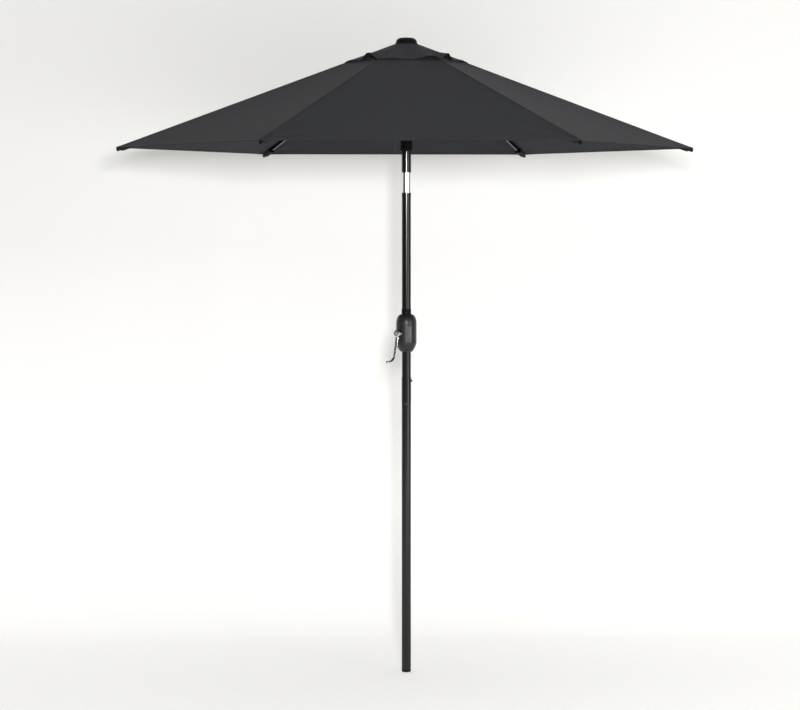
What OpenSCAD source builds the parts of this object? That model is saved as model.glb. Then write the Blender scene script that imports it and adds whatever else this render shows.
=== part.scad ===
// Market umbrella, 2.3 m across, with a crank lift, a push-button tilt and a two-piece pole.
// Millimetres. +Z is up, the origin is the centre of the foot cap's underside.

/* [Canopy] */
// Number of ribs
rib_count = 6; // [6:1:8]
// Distance from the pole's axis to a rib tip when open
canopy_r = 1074; // [1000:1:1150]
// Slope of an open rib below the horizontal, degrees
rib_slope = 20.3; // [17:0.1:23]
// Height at which the ridge lines of the open canopy would meet
apex_z = 2361; // [2340:1:2380]
// Distance from the axis to the edge of the vent hole
vent_hole_r = 120; // [100:1:140]
// Distance from the axis to a corner of the vent flap
vent_flap_r = 227; // [200:1:250]

/* [Frame] */
// Width of a rib
rib_w = 9; // [9:0.5:10]
// Height of a rib
rib_h = 13; // [12:0.5:14]
// Length of a strut between its pins, and of a rib between its hub pin and its strut pin
strut_len = 420; // [400:1:440]
// Distance from the axis to the hub pins and to the runner pins
hinge_r = 35; // [34:0.5:36]
// How far the ribs swing down to close, degrees
fold_range = 64.7; // [40:0.1:65]

/* [Pole] */
// Outside diameter of the lower pole and the head tube
pole_d = 35; // [34.5:0.1:36]
// Height of the seam between the two poles
seam_z = 1110; // [1080:1:1120]
// Height of the tilt joint's pins
tilt_z = 1882.5; // [1870:0.5:1890]
// Height at which the chrome tilt tube comes out of its collar
collar_top_z = 1797; // [1790:1:1800]

/* [Crank] */
// Height of the crank shaft
crank_z = 1275; // [1270:1:1285]
// Direction that the crank shaft points in, degrees from +X
crank_az = 225; // [215:1:235]
// Height of the crank housing
housing_h = 140; // [136:1:150]
// Widest radius of the crank housing
housing_r = 38; // [37:0.5:40]

/* [Hidden] */
$fn = 64;
eps = 0.01;
run_gap = 0.05;

// Pole stack: each tube slides in the one below it with 0.1 mm to spare
pole_r = pole_d / 2;
wall = 1;
button_r = 5;
mid_r = pole_r - 0.6;
bell_in_r = mid_r + 0.1;
mid_in_r = mid_r - wall;
tilt_r = mid_in_r - 0.1;
tilt_in_r = tilt_r - 1.2;
head_in_r = pole_r - 1.2;
cap_h = 8;
bell_h = 95;
bell_z = seam_z - bell_h;
collar_h = 14;
collar_z = collar_top_z - collar_h;
head_bottom_z = tilt_z - 10;

// Fabric and rib lines: height over the axis distance, along a rib
fall = tan(rib_slope);
fabric_t = 1.2;
// Room between the cover and the flat top of a rib, which is 1 mm nearer at the rib's sides
rib_gap = 1.6;
rib_drop = rib_gap + (fabric_t + rib_h / 2) / cos(rib_slope);
hub_pin_z = apex_z - rib_drop - fall * hinge_r;
function fabric_z(r) = apex_z - fall * r;

// Fold geometry: hub pin, strut pin and runner pin make an isosceles triangle
strut_drop = 14;
rib_to_strut = sqrt(pow(strut_len, 2) - pow(strut_drop, 2));
fold_angle = 90 - rib_slope - atan(strut_drop / rib_to_strut);
strut_pin_r = hinge_r + strut_len * sin(fold_angle);
strut_pin_z = hub_pin_z - strut_len * cos(fold_angle);
runner_pin_z = hub_pin_z - 2 * strut_len * cos(fold_angle);
rib_len = (canopy_r - 10 - hinge_r) / cos(rib_slope);

// Frame details
rib_wall = 0.8;
pin_r = 1.5;
strut_pin = 2;
strut_w = 8.4;
strut_h = 9;
hub_r = 42;
hub_top_z = hub_pin_z + 5.6;
hub_bottom_z = hub_pin_z - 12;
runner_bore_r = pole_r + 0.75;
runner_r = 23;
crown_top_z = runner_pin_z + 9;
crown_h = 18;
runner_bottom_z = runner_pin_z - 69;

// Lift cord, pulley and spool
cord_r = 1.2;
pulley_z = hub_bottom_z - 33;
pulley_y = 9.5;
pulley_run_r = 10;
spool_run_r = 10.6;
spool_half_w = 8;

// Crank
shaft_r = 5;
shaft_hole_r = 6;
hub_disc_d = 52;
hub_disc_r = 14;
arm_w = 17;
arm_t = 5;
arm_path = [[52, 0], [54, -22], [58, -45], [63, -68], [69, -86], [75, -96], [82, -102], [91, -105]];
knob_start = 94;
knob_len = 15;
knob_z = -105;

// Vent flap and finial
flap_t = 1.2;
seam_gap = 0.1;
flap_top_z = fabric_z(hub_r) + 2.5;
flap_rim_z = fabric_z(vent_flap_r) + 4;
finial_r = 41.5;
finial_h = 23;

button_z = seam_z - 13;
tilt_button_z = tilt_z - 44;

ks = [1:rib_count];

// ---- shared shapes ----

// Round tube or ring standing on z
module ring(r_out, r_in, h) {
    difference() {
        cylinder(r = r_out, h = h);
        translate([0, 0, -1]) cylinder(r = r_in, h = h + 2);
    }
}

// Puts a shape's +Z along the crank shaft, starting on the pole's axis
module on_shaft(d = 0) {
    translate([0, 0, crank_z]) rotate([0, 0, crank_az]) rotate([0, 90, 0])
        translate([0, 0, d]) children();
}

// Puts a shape drawn for the rib along +X at rib k
module at_rib(k) {
    rotate([0, 0, 360 / rib_count * (k - 1)]) children();
}

// Rectangle with round corners
module rounded_rect(w, h, r) {
    square([w - 2 * r, h], center = true);
    square([w, h - 2 * r], center = true);
    for (x = [-1, 1], y = [-1, 1])
        translate([x * (w / 2 - r), y * (h / 2 - r)]) circle(r);
}

// Pin across a rib's plane, centred on a point at distance r and height z
module cross_pin(r, z, radius, length) {
    translate([r, 0, z]) rotate([90, 0, 0]) cylinder(r = radius, h = length, center = true);
}

// Round bar between two points
module bar(p, q, radius) {
    v = q - p;
    translate(p) rotate([0, acos(v.z / norm(v)), atan2(v.y, v.x)])
        cylinder(r = radius, h = norm(v));
}

// Strip of constant width drawn along a list of points
module ribbon(points, width) {
    last = len(points) - 1;
    along = [for (i = [0:last]) points[min(i + 1, last)] - points[max(i - 1, 0)]];
    side = [for (v = along) [-v.y, v.x] / norm(v) * width / 2];
    polygon(concat([for (i = [0:last]) points[i] + side[i]],
                   [for (i = [last:-1:0]) points[i] - side[i]]));
}

// ---- pole ----

module foot_cap() {
    color("#151517") rotate_extrude() {
        translate([0, cap_h - 4]) square([pole_r - 0.2, 4]);
        square([pole_r - 4.2, cap_h]);
        translate([pole_r - 4.2, 4]) circle(4);
        translate([0, cap_h]) square([pole_r - wall - 0.05, 20]);
    }
}

module lower_pole() {
    color("#1b1b1d") difference() {
        rotate_extrude() polygon([
            [pole_r - wall, cap_h], [pole_r, cap_h], [pole_r, bell_z - 10],
            [bell_in_r + wall, bell_z], [bell_in_r + wall, seam_z], [bell_in_r, seam_z],
            [bell_in_r, bell_z], [pole_r - wall, bell_z - 10]]);
        translate([0, 0, button_z]) rotate([0, 90, 0]) cylinder(r = button_r + 0.3, h = pole_d);
    }
}

module mid_pole() {
    color("#1b1b1d") difference() {
        translate([0, 0, bell_z + 2]) ring(mid_r, mid_in_r, collar_z - bell_z - 2);
        translate([0, 0, button_z]) rotate([0, 90, 0]) cylinder(r = button_r + 0.3, h = pole_d);
        on_shaft(-pole_d) cylinder(r = shaft_hole_r, h = 2 * pole_d);
    }
}

module snap_button() {
    color("#2a2a2c") {
        translate([0, 0, button_z]) rotate([0, 90, 0]) {
            translate([0, 0, 12]) cylinder(r = button_r, h = pole_r - 12 + 3);
            translate([0, 0, pole_r + 3]) intersection() {
                cylinder(r = button_r, h = 3);
                translate([0, 0, -5]) sphere(r = 7);
            }
        }
        translate([11.4, -4, button_z - 34]) cube([0.8, 8, 38]);
    }
}

module snap_spring() {
    color("silver") {
        translate([-14.2, -4, button_z - 36]) cube([0.8, 8, 44]);
        translate([0, 0, button_z - 36]) rotate([90, 0, 0]) intersection() {
            translate([0, 0, -4]) ring(14.2, 13.4, 8);
            translate([-20, -20, -5]) cube([40, 20, 10]);
        }
    }
}

// ---- crank drive ----

// Profile of the housing: round shoulders at both ends of a plain barrel
module housing_profile(inset) {
    shoulder = 26;
    top = housing_h / 2 - inset;
    r = housing_r - inset;
    polygon(concat(
        [[0, -top], [20 - inset, -top]],
        [for (a = [-75:15:0]) [r - shoulder * 0.62 * (1 - cos(a)), -top + shoulder * (1 + sin(a))]],
        [for (a = [0:15:75]) [r - shoulder * 0.62 * (1 - cos(a)), top - shoulder * (1 - sin(a))]],
        [[20 - inset, top], [0, top]]));
}

module housing_body() {
    difference() {
        union() {
            rotate_extrude() housing_profile(0);
            rotate([0, 0, crank_az]) rotate([0, 90, 0]) cylinder(r = 17, h = housing_r + 1);
        }
        difference() {
            rotate_extrude() housing_profile(2.4);
            for (end = [-1, 1]) translate([0, 0, end * (housing_h / 2 - 5)])
                cylinder(r = mid_r + 6, h = 12, center = true);
            rotate([0, 0, crank_az]) rotate([0, 90, 0])
                translate([0, 0, mid_r + 2]) cylinder(r = 12, h = housing_r);
            rotate([0, 0, crank_az]) rotate([0, -90, 0])
                translate([0, 0, mid_r + 9]) cylinder(r = 12, h = housing_r);
            for (side = [-1, 1], end = [-1, 1]) housing_post(side, end, 4.5);
        }
        rotate([0, 0, crank_az]) rotate([0, 90, 0]) translate([0, 0, housing_r - 4])
            cylinder(r = 13, h = 20);
        rotate([0, 0, crank_az]) rotate([0, 90, 0])
            cylinder(r = 8, h = 2 * housing_r + 20, center = true);
        cylinder(r = mid_r + 0.1, h = housing_h + 2, center = true);
    }
}

// Screw post beside the pole, along the crank shaft's direction
module housing_post(side, end, radius) {
    rotate([0, 0, crank_az]) rotate([0, 90, 0])
        translate([end * (housing_h / 2 - 30), side * 24, 0])
            cylinder(r = radius, h = 2 * housing_r, center = true);
}

// Half of space on one side of the housing's split plane
module split_half(side) {
    rotate([0, 0, crank_az]) translate([side * 100, 0, 0]) cube([200, 300, 300], center = true);
}

module crank_housing_front() {
    color("#353538") translate([0, 0, crank_z]) difference() {
        intersection() {
            union() {
                housing_body();
                housing_badge();
            }
            split_half(1);
        }
        for (side = [-1, 1], end = [-1, 1]) intersection() {
            housing_post(side, end, 1.6);
            rotate([0, 0, crank_az]) cube([24, 300, 300], center = true);
        }
    }
}

// Plain raised panel on the front of the housing
module housing_badge() {
    rotate([0, 0, crank_az + 62]) translate([housing_r - 5, 0, -4]) rotate([0, 90, 0])
        linear_extrude(5.4) rounded_rect(70, 16, 3);
}

module crank_housing_back() {
    color("#353538") translate([0, 0, crank_z]) difference() {
        intersection() {
            housing_body();
            split_half(-1);
        }
        for (side = [-1, 1], end = [-1, 1]) {
            housing_post(side, end, 2.1);
            intersection() {
                housing_post(side, end, 3.6);
                rotate([0, 0, crank_az]) translate([-110, 0, 0]) cube([200, 300, 300], center = true);
            }
        }
    }
}

module housing_screws() {
    color("silver") translate([0, 0, crank_z]) rotate([0, 0, crank_az]) rotate([0, 90, 0])
        for (side = [-1, 1], end = [-1, 1]) translate([end * (housing_h / 2 - 30), side * 24, 0]) {
            translate([0, 0, -10]) cylinder(r = 1.55, h = 21);
            translate([0, 0, -13]) cylinder(r = 3.3, h = 3);
        }
}

module shaft_bushes() {
    color("#e8e6df") {
        on_shaft(mid_r + 2) ring(7.95, shaft_r + run_gap, housing_r - mid_r - 7);
        on_shaft(-housing_r + 1) ring(7.95, shaft_r + run_gap, housing_r - mid_r - 10);
    }
}

module brake_spring() {
    color("#8a8a8c") on_shaft(-mid_r - 8.4) rotate_extrude() intersection() {
        for (i = [0:4]) translate([shaft_r + 1.2, 0.8 + 1.5 * i]) circle(r = 0.8);
        square([20, 20]);
    }
}

module crank_shaft() {
    color("#d8d8da") {
        on_shaft(-housing_r + 2) cylinder(r = shaft_r, h = hub_disc_d - 3 + housing_r - 2);
        on_shaft(housing_r - 3.6) ring(8.5, shaft_r - eps, 12.6);
    }
}

module cord_spool() {
    color("#4a4a4c") on_shaft() difference() {
        union() {
            translate([0, 0, -spool_half_w]) cylinder(r = 6.8, h = 2 * spool_half_w);
            for (end = [-1, 1]) translate([0, 0, end * (spool_half_w - 0.6)])
                cylinder(r = 12, h = 1.2, center = true);
        }
        cylinder(r = shaft_r, h = 50, center = true);
    }
}

module cord_winding() {
    color("#202022") on_shaft(-spool_half_w + 1.4) rotate_extrude() difference() {
        union() {
            translate([6.8, 0]) square([1.6, 2 * spool_half_w - 2.8]);
            for (i = [0:4]) translate([8, 1.4 + 2.6 * i]) circle(r = 1.2);
        }
        square([6.8, 40]);
    }
}

module crank_arm() {
    color("#d8d8da") translate([0, 0, crank_z]) rotate([0, 0, crank_az]) difference() {
        union() {
            rotate([90, 0, 0]) linear_extrude(arm_w, center = true) ribbon(arm_path, arm_t);
            translate([hub_disc_d - 3, 0, 0]) rotate([0, 90, 0]) cylinder(r = hub_disc_r, h = 8);
            translate([knob_start - 5, 0, knob_z]) rotate([0, 90, 0]) cylinder(r = 6.5, h = 4.6);
            translate([knob_start - 2, 0, knob_z]) rotate([0, 90, 0]) cylinder(r = 2.5, h = knob_len);
        }
        translate([hub_disc_d + 1, 0, 0]) rotate([0, 90, 0]) cylinder(r = 2.5, h = 10);
    }
}

module crank_screw() {
    color("#b8b8ba") on_shaft(hub_disc_d + 1) {
        cylinder(r = 2.45, h = 4);
        difference() {
            translate([0, 0, 4]) cylinder(r1 = 6, r2 = 4.6, h = 2.4);
            translate([0, 0, 6]) cube([1.4, 7, 2], center = true);
            translate([0, 0, 6]) cube([7, 1.4, 2], center = true);
        }
    }
}

module crank_knob() {
    color("#d8d8da") translate([0, 0, knob_z]) on_shaft(knob_start) difference() {
        rotate_extrude() difference() {
            union() {
                square([4.6, knob_len]);
                translate([0, 4]) square([5.4, knob_len - 8]);
                for (z = [4, knob_len - 4]) translate([1.4, z]) circle(r = 4);
            }
            translate([-10, -10]) square([10, 40]);
        }
        translate([0, 0, -1]) cylinder(r = 2.5 + run_gap, h = knob_len - 1);
    }
}

// ---- tilt joint ----

module tilt_collar() {
    color("#1b1b1d") translate([0, 0, collar_z]) rotate_extrude() {
        translate([tilt_r + 0.05, 0]) square([pole_r - tilt_r - 0.05, collar_h - 0.8]);
        translate([tilt_r + 0.05, 0]) square([pole_r - tilt_r - 0.85, collar_h]);
        translate([pole_r - 0.8, collar_h - 0.8]) circle(r = 0.8);
    }
}

module tilt_tube() {
    color("#dcdcde") difference() {
        union() {
            translate([0, 0, collar_z - 50]) ring(tilt_r, tilt_in_r, tilt_z - collar_z + 50);
            translate([0, 0, tilt_z]) difference() {
                sphere(r = tilt_r);
                sphere(r = tilt_in_r);
                translate([0, 0, -25]) cube([60, 60, 50], center = true);
                translate([0, 0, 9]) cylinder(r = 20, h = 20);
            }
        }
        translate([0, 0, tilt_z]) rotate([0, 90, 0])
            cylinder(r = 3 + run_gap, h = 60, center = true);
        translate([0, 0, tilt_button_z]) rotate([-90, 0, 0]) cylinder(r = 6.3, h = 30);
    }
}

module tilt_button() {
    color("#1b1b1d") translate([0, 0, tilt_button_z]) rotate([-90, 0, 0]) {
        translate([0, 0, 10]) cylinder(r = 6, h = tilt_r - 9.2);
        translate([0, 0, tilt_r + 0.8]) cylinder(r1 = 6, r2 = 5, h = 1);
    }
}

module tilt_spring() {
    color("silver") translate([-3.5, 9.2, tilt_button_z - 24]) cube([7, 0.8, 28]);
}

module tilt_rivets() {
    color("#2a2a2c") for (side = [0, 180]) translate([0, 0, tilt_z]) rotate([0, 90, side]) {
        translate([0, 0, 13.2]) cylinder(r = 3, h = pole_r - 13.2);
    }
}

module head_tube() {
    color("#1b1b1d") difference() {
        translate([0, 0, head_bottom_z]) ring(pole_r, head_in_r, hub_bottom_z - head_bottom_z);
        translate([-30, 3.4, head_bottom_z - 1]) cube([60, 30, 17]);
        translate([0, 0, tilt_z]) rotate([0, 90, 0]) cylinder(r = 3, h = 60, center = true);
        translate([-3.8, 5, pulley_z - 13]) cube([7.6, 30, 26]);
        translate([0, pulley_y, pulley_z]) rotate([0, 90, 0]) cylinder(r = 2, h = 60, center = true);
    }
}

// ---- lift cord ----

module cord_pulley() {
    color("#4a4a4c") translate([0, pulley_y, pulley_z]) rotate([0, 90, 0]) difference() {
        rotate_extrude() difference() {
            translate([0, -3]) square([12, 6]);
            translate([pulley_run_r, 0]) circle(r = cord_r + 0.3);
            translate([pulley_run_r, -cord_r - 0.3]) square([5, 2 * cord_r + 0.6]);
        }
        cylinder(r = 2 + run_gap, h = 20, center = true);
    }
}

module pulley_axle() {
    color("silver") translate([0, pulley_y, pulley_z]) rotate([0, 90, 0])
        cylinder(r = 2, h = 28, center = true);
}

module lift_cord_lower() {
    side = crank_az - 90;
    color("#202022") bar(
        [spool_run_r * cos(side), spool_run_r * sin(side), crank_z],
        [0, pulley_y - pulley_run_r, tilt_z - 1], cord_r);
}

module lift_cord_upper() {
    color("#202022") {
        translate([0, pulley_y - pulley_run_r, tilt_z + 1]) cylinder(r = cord_r, h = pulley_z - tilt_z - 1);
        translate([0, pulley_y, pulley_z]) rotate([90, 0, 90]) rotate_extrude(angle = 180)
            translate([pulley_run_r, 0]) circle(r = cord_r);
    }
}

module lift_cord_outer() {
    color("#202022") translate([0, pulley_y + pulley_run_r, crown_top_z])
        cylinder(r = cord_r, h = pulley_z - crown_top_z);
}

// ---- hub, ribs, struts and runner ----

module top_hub() {
    color("#1b1b1d") difference() {
        union() {
            translate([0, 0, hub_bottom_z]) cylinder(r = hub_r, h = hub_top_z - hub_bottom_z);
            translate([0, 0, hub_top_z]) cylinder(r = 20, h = flap_top_z - flap_t - 0.05 - hub_top_z);
            translate([0, 0, hub_bottom_z - 14]) cylinder(r = head_in_r - 0.05, h = 15);
        }
        for (k = ks) at_rib(k) {
            translate([hinge_r - 7.5, -rib_w / 2 - 0.3, hub_bottom_z - 1]) cube([30, rib_w + 0.6, 40]);
            cross_pin(hinge_r, hub_pin_z, pin_r, 20);
        }
        translate([0, 0, hub_bottom_z - 20]) cylinder(r = 3, h = 60);
    }
}

module hub_pins() {
    color("silver") for (k = ks) at_rib(k) cross_pin(hinge_r, hub_pin_z, pin_r, 20);
}

// Places a shape drawn with its hub pin at the origin and its length along +X
module along_rib(k) {
    at_rib(k) translate([hinge_r, 0, hub_pin_z]) rotate([0, rib_slope, 0]) children();
}

module rib(k) {
    color("#1d1d1f") along_rib(k) difference() {
        union() {
            rotate([90, 0, 0]) cylinder(r = rib_h / 2, h = rib_w - 1.6, center = true);
            translate([0, -rib_w / 2 + 0.8, -rib_h / 2]) cube([14, rib_w - 1.6, rib_h]);
            translate([10, 0, 0]) rotate([90, 0, 90]) difference() {
                linear_extrude(rib_len - 10) rounded_rect(rib_w, rib_h, 2);
                translate([0, 0, 4]) linear_extrude(rib_len)
                    rounded_rect(rib_w - 2 * rib_wall, rib_h - 2 * rib_wall, 1.2);
            }
        }
        rotate([90, 0, 0]) cylinder(r = pin_r + run_gap, h = 20, center = true);
    }
}

module rib_bracket(k) {
    color("#1d1d1f") along_rib(k) translate([rib_to_strut, 0, 0]) {
        for (side = [-1, 1]) translate([0, side * (rib_w / 2 + 0.75), 0]) rotate([90, 0, 0]) {
            linear_extrude(1.4, center = true) {
                translate([0, -strut_drop]) circle(r = 5.5);
                translate([-5.5, -strut_drop]) square([11, strut_drop]);
                translate([-14, -4]) square([28, 8]);
            }
        }
        translate([0, 0, -strut_drop]) rotate([90, 0, 0])
            cylinder(r = strut_pin, h = rib_w + 4.5, center = true);
    }
}

module rib_tip(k) {
    color("#101012") along_rib(k) translate([rib_len + 0.05, 0, 0]) rotate([90, 0, 90]) {
        linear_extrude(6) rounded_rect(rib_w + 1, rib_h, 3);
        linear_extrude(9) rounded_rect(rib_w - 2, rib_h - 3, 3);
        translate([0, 0, -12]) linear_extrude(13)
            rounded_rect(rib_w - 2 * rib_wall - 0.2, rib_h - 2 * rib_wall - 0.2, 1.1);
    }
}

module strut(k) {
    inner_hole = k == 1 ? pin_r + run_gap : pin_r + 0.3;
    color("#1d1d1f") at_rib(k) translate([strut_pin_r, 0, strut_pin_z])
        rotate([0, 90 + fold_angle, 0]) difference() {
            union() {
                rotate([90, 0, 0]) cylinder(r = strut_h / 2, h = strut_w, center = true);
                translate([strut_len, 0, 0]) rotate([90, 0, 0])
                    cylinder(r = strut_h / 2, h = strut_w, center = true);
                rotate([90, 0, 90]) linear_extrude(strut_len) rounded_rect(strut_w, strut_h, 2);
            }
            rotate([90, 0, 0]) cylinder(r = strut_pin + run_gap, h = 20, center = true);
            translate([strut_len, 0, 0]) rotate([90, 0, 0])
                cylinder(r = inner_hole, h = 20, center = true);
            translate([12, 0, 0]) rotate([90, 0, 90]) linear_extrude(strut_len - 24)
                rounded_rect(strut_w - 2, strut_h - 2, 1.4);
        }
}

module runner() {
    color("#1b1b1d") difference() {
        union() {
            translate([0, 0, crown_top_z - crown_h]) cylinder(r = hub_r, h = crown_h);
            translate([0, 0, runner_bottom_z + 3])
                cylinder(r = runner_r, h = crown_top_z - runner_bottom_z - crown_h - 3 + 1);
            translate([0, 0, runner_bottom_z]) cylinder(r = runner_r - 2, h = 4);
            translate([0, 0, runner_bottom_z + 2]) rotate_extrude() translate([runner_r - 2, 0]) circle(r = 2);
        }
        translate([0, 0, runner_bottom_z - 1]) cylinder(r = runner_bore_r, h = 200);
        for (k = ks) at_rib(k) {
            translate([hinge_r - 6, -strut_w / 2 - 0.3, runner_pin_z - 6]) cube([30, strut_w + 0.6, 40]);
            cross_pin(hinge_r, runner_pin_z, pin_r, 20);
        }
    }
}

module runner_pins() {
    color("silver") for (k = ks) at_rib(k) cross_pin(hinge_r, runner_pin_z, pin_r, 20);
}

// ---- cover ----

// One flat panel between rib k and the next, cut from a faceted cone with a corner over each rib
module panel(k, r_low, z_low, r_high, z_high, t) {
    h = z_high - z_low;
    reach = 2 * r_low;
    step = 360 / rib_count;
    intersection() {
        difference() {
            translate([0, 0, z_low]) cylinder(r1 = r_low, r2 = r_high, h = h, $fn = rib_count);
            translate([0, 0, z_low - t]) cylinder(r1 = r_low, r2 = r_high, h = h, $fn = rib_count);
        }
        at_rib(k) translate([0, 0, z_low - 1]) linear_extrude(h + 2) polygon([
            [seam_gap / tan(step / 2), seam_gap], [reach, seam_gap],
            [reach * cos(step) + seam_gap * sin(step), reach * sin(step) - seam_gap * cos(step)]]);
    }
}

module canopy() {
    z_low = fabric_z(canopy_r);
    z_high = fabric_z(vent_hole_r);
    color("#37383c") difference() {
        for (k = ks) panel(k, canopy_r, z_low, vent_hole_r, z_high, fabric_t / cos(rib_slope));
        translate([0, 0, z_high - 5]) cylinder(r = vent_hole_r + 1, h = 20, $fn = rib_count);
    }
}

module vent_flap() {
    color("#3b3c40") {
        difference() {
            for (k = ks) panel(k, vent_flap_r, flap_rim_z, hub_r, flap_top_z, flap_t);
            translate([0, 0, flap_top_z - 20]) cylinder(r = hub_r + 1, h = 40, $fn = rib_count);
        }
        translate([0, 0, flap_top_z - flap_t]) difference() {
            cylinder(r = hub_r + 0.8, h = flap_t, $fn = rib_count);
            translate([0, 0, -1]) cylinder(r = 4.5, h = flap_t + 2);
        }
    }
}

module finial() {
    color("#151517") translate([0, 0, flap_top_z + 0.05]) difference() {
        rotate_extrude() intersection() {
            union() {
                square([finial_r, 3]);
                translate([0, finial_h - 20]) square([finial_r - 20, 20]);
                translate([finial_r - 20, finial_h - 20]) circle(r = 20);
            }
            square([finial_r, finial_h]);
        }
        translate([0, 0, -1]) cylinder(r = 4, h = 13);
    }
}

module finial_screw() {
    color("silver") translate([0, 0, hub_bottom_z - 16]) {
        cylinder(r = 2.95, h = flap_top_z + 11 - hub_bottom_z + 16);
        cylinder(r = 6, h = 1.9);
    }
}

// ---- output ----

foot_cap();
lower_pole();
mid_pole();
snap_spring();
snap_button();
crank_housing_front();
crank_housing_back();
housing_screws();
shaft_bushes();
brake_spring();
crank_shaft();
cord_spool();
cord_winding();
crank_arm();
crank_screw();
crank_knob();
tilt_collar();
tilt_tube();
tilt_button();
tilt_spring();
tilt_rivets();
head_tube();
top_hub();
hub_pins();
cord_pulley();
pulley_axle();
lift_cord_lower();
lift_cord_upper();
lift_cord_outer();
runner();
runner_pins();
canopy();
vent_flap();
finial();
finial_screw();
for (k = ks) {
    rib(k);
    rib_bracket(k);
    rib_tip(k);
    strut(k);
}
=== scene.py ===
import math

import bmesh
import bpy
from mathutils import Matrix, Vector


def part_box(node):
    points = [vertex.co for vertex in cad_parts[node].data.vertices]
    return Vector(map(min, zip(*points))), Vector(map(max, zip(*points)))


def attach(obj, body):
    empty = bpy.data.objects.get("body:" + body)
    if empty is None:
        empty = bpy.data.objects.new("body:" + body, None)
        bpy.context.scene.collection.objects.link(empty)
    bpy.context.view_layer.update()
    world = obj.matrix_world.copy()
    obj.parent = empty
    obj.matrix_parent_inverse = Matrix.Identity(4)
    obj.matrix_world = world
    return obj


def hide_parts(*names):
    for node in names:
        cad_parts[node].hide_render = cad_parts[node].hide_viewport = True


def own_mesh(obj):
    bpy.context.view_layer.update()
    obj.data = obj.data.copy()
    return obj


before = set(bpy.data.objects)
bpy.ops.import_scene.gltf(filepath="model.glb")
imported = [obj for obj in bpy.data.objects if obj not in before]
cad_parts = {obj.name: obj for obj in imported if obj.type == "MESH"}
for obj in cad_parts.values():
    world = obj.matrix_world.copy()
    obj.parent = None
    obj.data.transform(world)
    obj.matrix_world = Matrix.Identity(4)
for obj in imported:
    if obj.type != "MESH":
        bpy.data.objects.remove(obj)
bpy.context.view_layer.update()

ribs = range(1, 7)
mm = 0.001


def say(text):
    print("umbrella:", text)


def nodeBox(name):
    low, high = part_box(name)
    return Vector(low), Vector(high)


class Sock:
    # wraps an output socket or a number, so that masks can be written as sums
    def __init__(self, paint, value):
        self.paint = paint
        self.value = value

    def maths(self, operation, *others):
        node = self.paint.tree.nodes.new("ShaderNodeMath")
        node.operation = operation
        for at, item in enumerate((self,) + others):
            self.paint.plug(node.inputs[at], item)
        return Sock(self.paint, node.outputs[0])

    def __add__(self, other):
        return self.maths("ADD", other)

    def __radd__(self, other):
        return self.maths("ADD", other)

    def __sub__(self, other):
        return self.maths("SUBTRACT", other)

    def __rsub__(self, other):
        return Sock(self.paint, other).maths("SUBTRACT", self)

    def __mul__(self, other):
        return self.maths("MULTIPLY", other)

    def __rmul__(self, other):
        return self.maths("MULTIPLY", other)

    def __truediv__(self, other):
        return self.maths("DIVIDE", other)

    def __lt__(self, other):
        return self.maths("LESS_THAN", other)

    def __gt__(self, other):
        return self.maths("GREATER_THAN", other)

    def sin(self):
        return self.maths("SINE")

    def fract(self):
        return self.maths("FRACT")

    def abs(self):
        return self.maths("ABSOLUTE")

    def clamp(self):
        node = self.maths("MAXIMUM", 0.0)
        return node.maths("MINIMUM", 1.0)


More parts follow.
